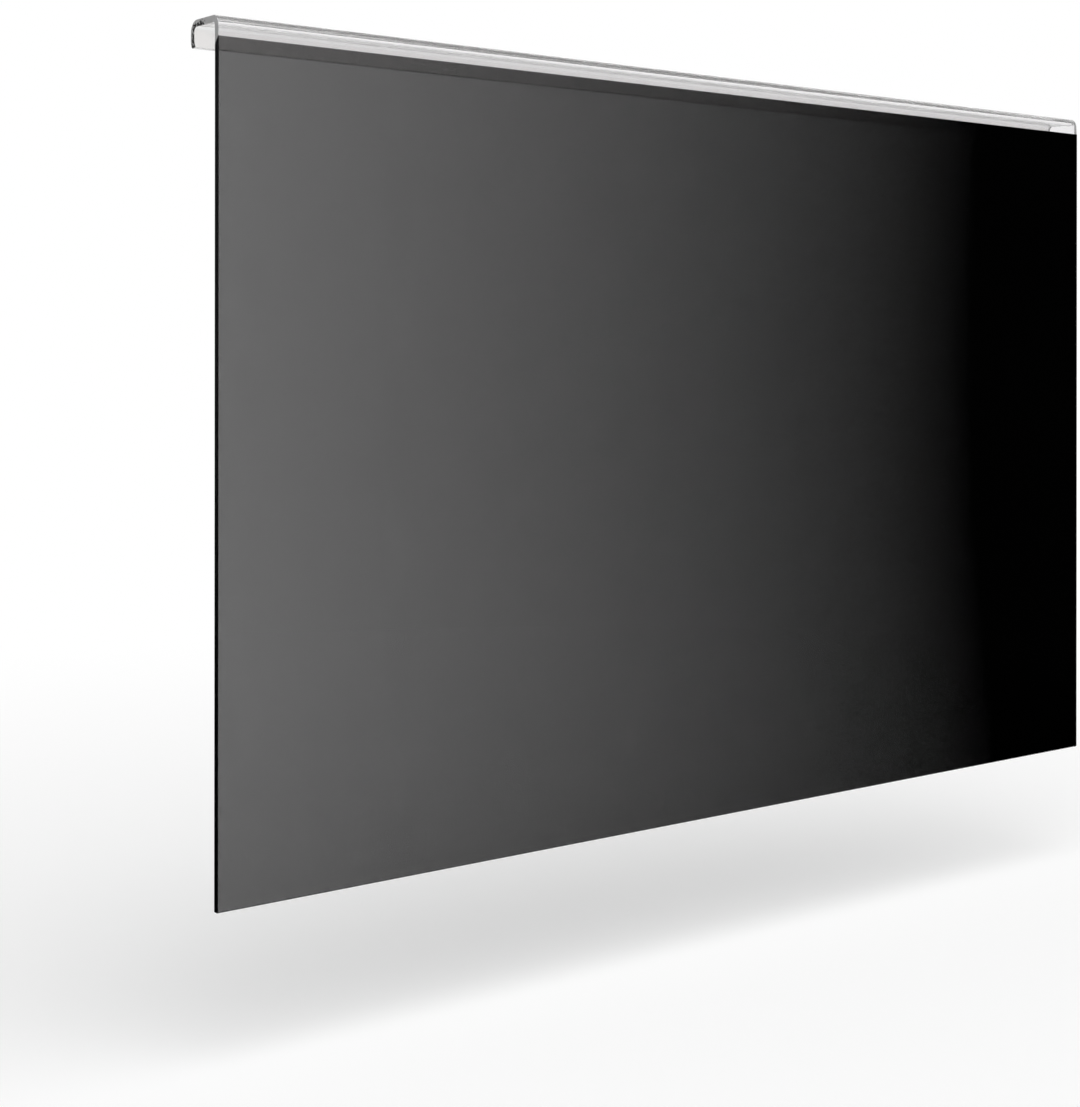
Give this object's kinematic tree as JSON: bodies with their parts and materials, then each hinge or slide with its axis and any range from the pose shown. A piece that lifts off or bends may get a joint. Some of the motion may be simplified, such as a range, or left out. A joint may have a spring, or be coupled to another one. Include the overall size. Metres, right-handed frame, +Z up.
{
  "type": "monitor privacy filter",
  "caption": "Clear acrylic sheet heat-bent into a hook along its top, with a dark louvred privacy film laminated on its front face.",
  "frame": {"origin": "middle of the flat underside of the hook, which rests on the top edge of the monitor", "axes": "+X across the filter, +Y to the back, from the film through the sheet to the lip, +Z up"},
  "size_m": [0.54, 0.0228, 0.35],
  "materials": {
    "clear_acrylic": "clear polished",
    "louvre_film": "gloss, see-through only from straight ahead"
  },
  "bodies": {
    "root": {"hanger_sheet": "clear_acrylic", "privacy_film": "louvre_film"}
  },
  "joints": []
}
